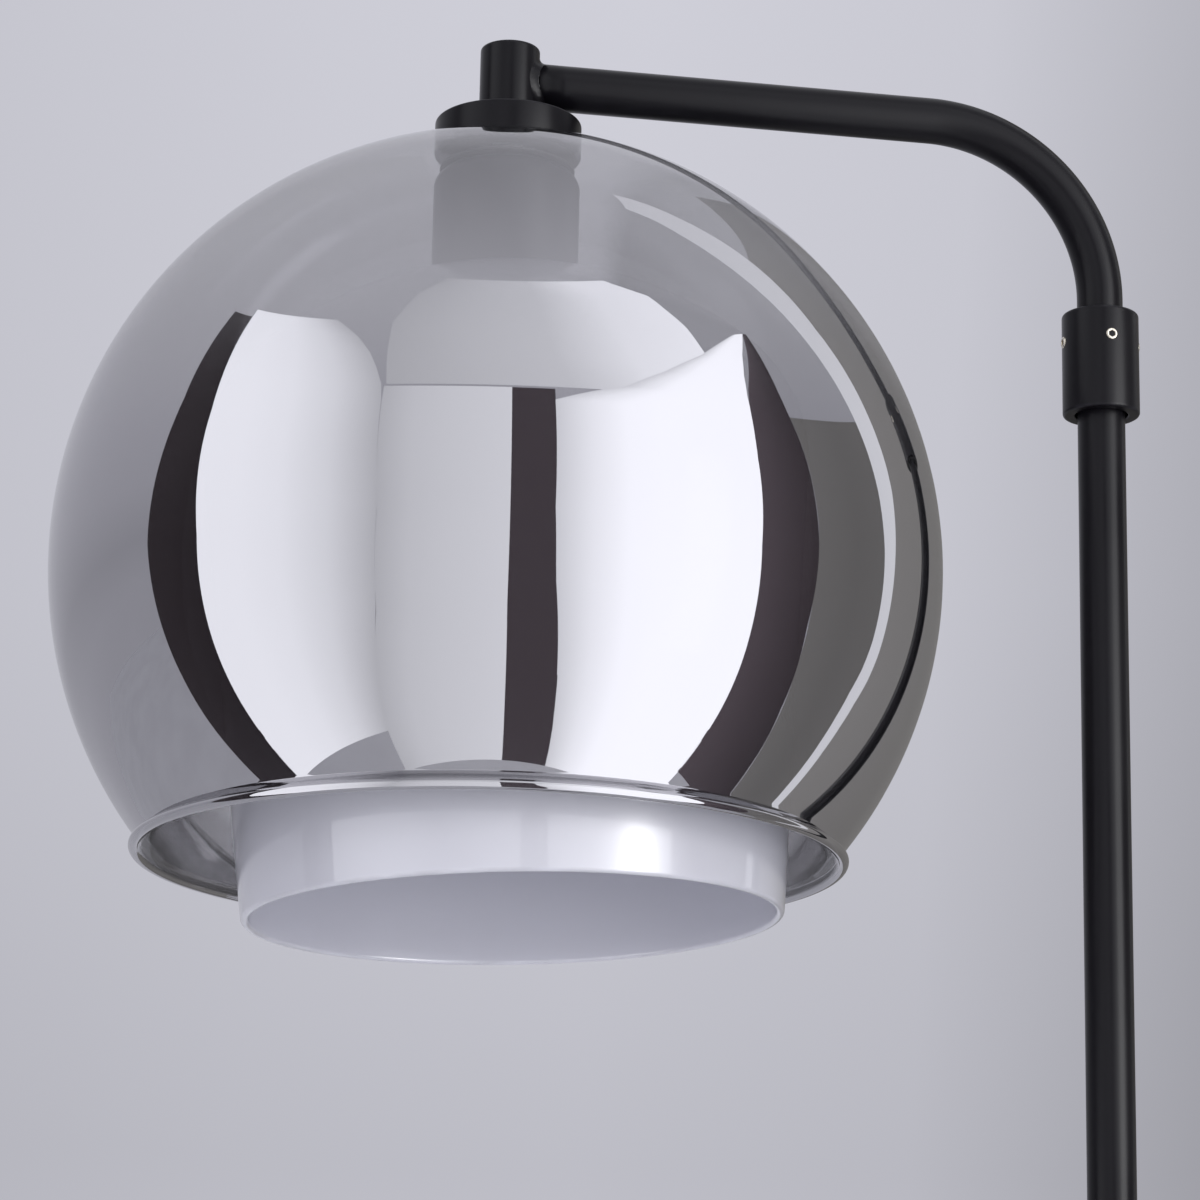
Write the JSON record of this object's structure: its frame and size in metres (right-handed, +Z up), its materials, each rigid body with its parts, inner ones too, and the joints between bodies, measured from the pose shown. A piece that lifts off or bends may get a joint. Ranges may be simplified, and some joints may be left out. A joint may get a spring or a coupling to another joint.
{
  "type": "arc floor lamp",
  "caption": "Floor lamp: weighted round base, slim black pole, bent swivelling arm, and a smoked mirror-glass globe hung over an opal inner shade.",
  "frame": {"origin": "on the floor, at the pole's axis, in the middle of the base pad's underside", "axes": "+Z up along the pole; the arm and the shade lie towards -X; the cord grommet is at the back of the base, towards +X"},
  "size_m": [0.5009, 0.3, 1.5504],
  "materials": {
    "black_powder_coat": "satin black powder coat on steel",
    "cast_iron": "rough casting",
    "felt": "pressed black felt",
    "rubber": "matt moulded rubber",
    "zinc_steel": "zinc-plated steel",
    "nickel": "bright nickel plate",
    "brass": "drawn brass",
    "holder_plastic": "black moulded thermoset",
    "smoked_mirror_glass": "blown glass, smoke tint with a thin chrome mirror coat",
    "opal_glass": "glossy white opal glass",
    "bulb_plastic": "white diffusing plastic"
  },
  "bodies": {
    "stand": {"base_pad": "felt", "base_weight": "cast_iron", "base_cover": "black_powder_coat", "cord_grommet": "rubber", "base_stud": "zinc_steel", "base_washer": "zinc_steel", "base_nut": "zinc_steel", "pole_foot": "black_powder_coat", "pole_lower": "black_powder_coat", "pole_middle": "black_powder_coat", "pole_upper": "black_powder_coat", "pole_foot_insert": "zinc_steel", "pole_insert_lower": "zinc_steel", "pole_insert_upper": "zinc_steel", "arm_collar": "black_powder_coat", "grub_screw_1": "nickel", "grub_screw_2": "nickel", "grub_screw_3": "nickel", "grub_screw_4": "nickel"},
    "arm": {"arm_tube": "black_powder_coat", "head_hub": "black_powder_coat", "threaded_nipple": "zinc_steel", "shade_cap": "black_powder_coat", "upper_gasket": "rubber", "outer_shade": "smoked_mirror_glass", "lower_gasket": "rubber", "lampholder_cup": "black_powder_coat", "cup_washer": "zinc_steel", "cup_nut": "zinc_steel", "lampholder_body": "holder_plastic", "lampholder_contact": "brass", "lampholder_shell": "brass", "inner_shade": "opal_glass", "shade_ring": "holder_plastic"},
    "bulb_lift": {"bulb_contact": "brass"},
    "bulb": {"bulb_cap": "nickel", "bulb_housing": "bulb_plastic", "bulb_diffuser": "bulb_plastic"}
  },
  "joints": [
    {"name": "arm_swivel", "type": "hinge", "parent": "stand", "child": "arm", "pos_m": [0, 0, 1.4619], "axis": [0, 0, 1], "range_deg": [-170, 170]},
    {"name": "bulb_advance", "type": "slide", "parent": "arm", "child": "bulb_lift", "axis": [0, 0, -1], "range_m": [0, 0.0182]},
    {"name": "bulb_turn", "type": "hinge", "parent": "bulb_lift", "child": "bulb", "pos_m": [-0.205, 0, 1.46], "axis": [0, 0, -1], "range_deg": [0, 1800]}
  ],
  "couplings": [
    {"joint": "bulb_advance", "follows": "bulb_turn", "m_per_rad": 0.00057757}
  ]
}
